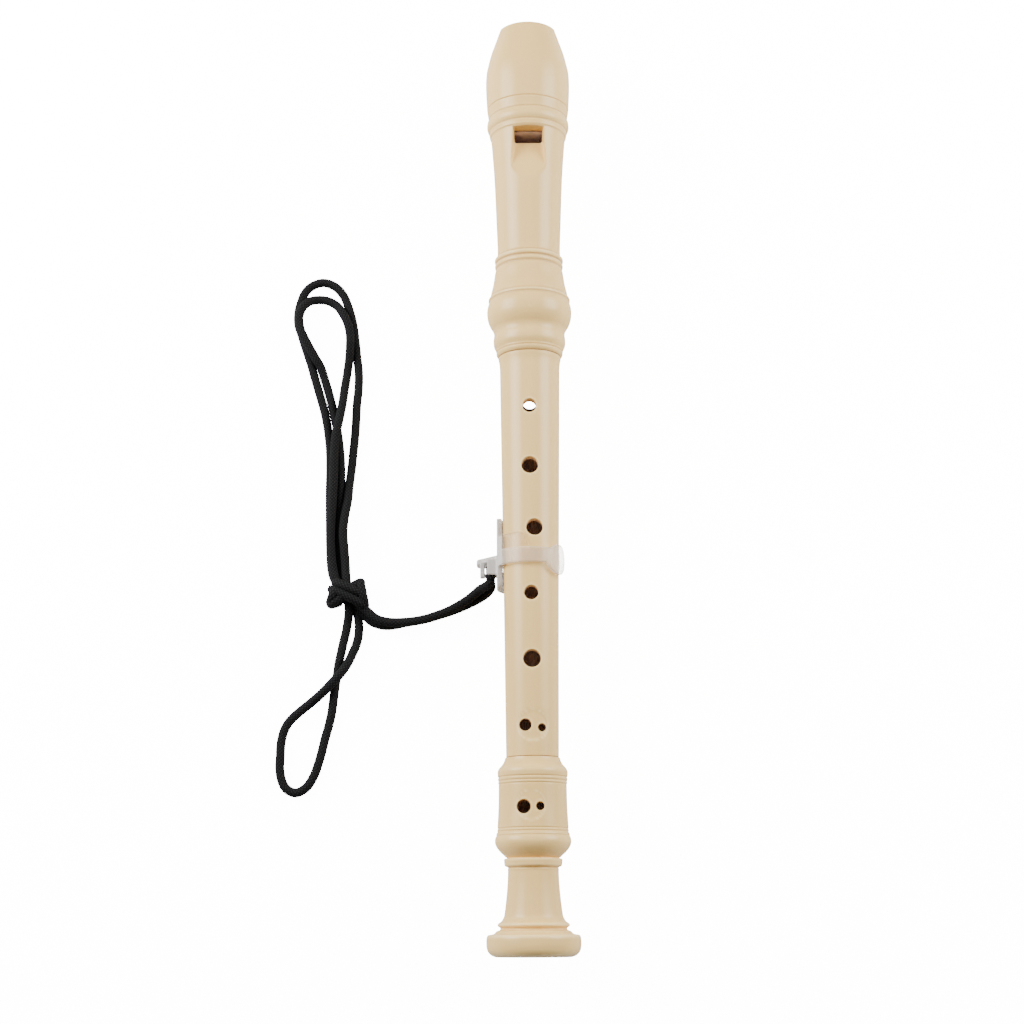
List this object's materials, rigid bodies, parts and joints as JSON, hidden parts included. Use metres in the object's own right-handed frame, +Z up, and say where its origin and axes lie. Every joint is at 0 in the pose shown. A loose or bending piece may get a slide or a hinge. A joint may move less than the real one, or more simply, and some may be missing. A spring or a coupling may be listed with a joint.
{
  "type": "soprano recorder",
  "caption": "Jointed moulded soprano recorder with bell foot, window and tapered bore, carrying a clip-on thumb rest and a knotted black neck cord.",
  "frame": {"origin": "on the table under the middle of the box round the recorder and its clip, without the cord; the recorder's axis is 1.65 mm to the right of it and 15.5 mm up", "axes": "+Y along the axis towards the mouthpiece, +Z up out of the finger holes, +X to the right of a viewer who sees the mouthpiece at the top"},
  "size_m": [0.1027, 0.328, 0.031],
  "materials": {
    "ivory_plastic": "satin moulded ABS, cream",
    "clear_plastic": "clear springy plastic, slightly smoky",
    "black_braid": "braided polyester cord, matt black"
  },
  "bodies": {
    "middle": {"middle_joint": "ivory_plastic"},
    "head": {"head_tube": "ivory_plastic", "beak": "ivory_plastic", "windway_block": "ivory_plastic"},
    "foot": {"foot_joint": "ivory_plastic"},
    "clip": {"thumb_rest_clip": "clear_plastic", "neck_cord_hitch": "black_braid", "neck_cord_lead_a": "black_braid", "neck_cord_lead_b": "black_braid", "neck_cord_knot": "black_braid", "neck_cord_outer_loop": "black_braid", "neck_cord_inner_loop": "black_braid", "neck_cord_lower_loop": "black_braid"}
  },
  "joints": [
    {"name": "head_pull", "type": "slide", "parent": "middle", "child": "head", "axis": [0, 1, 0], "range_m": [0, 0.015]},
    {"name": "foot_turn", "type": "hinge", "parent": "middle", "child": "foot", "pos_m": [0.00165, -0.1065, 0.0155], "axis": [0, 1, 0], "continuous": true},
    {"name": "clip_slide", "type": "slide", "parent": "middle", "child": "clip", "axis": [0, 1, 0], "range_m": [-0.0035, 0.0035]}
  ]
}
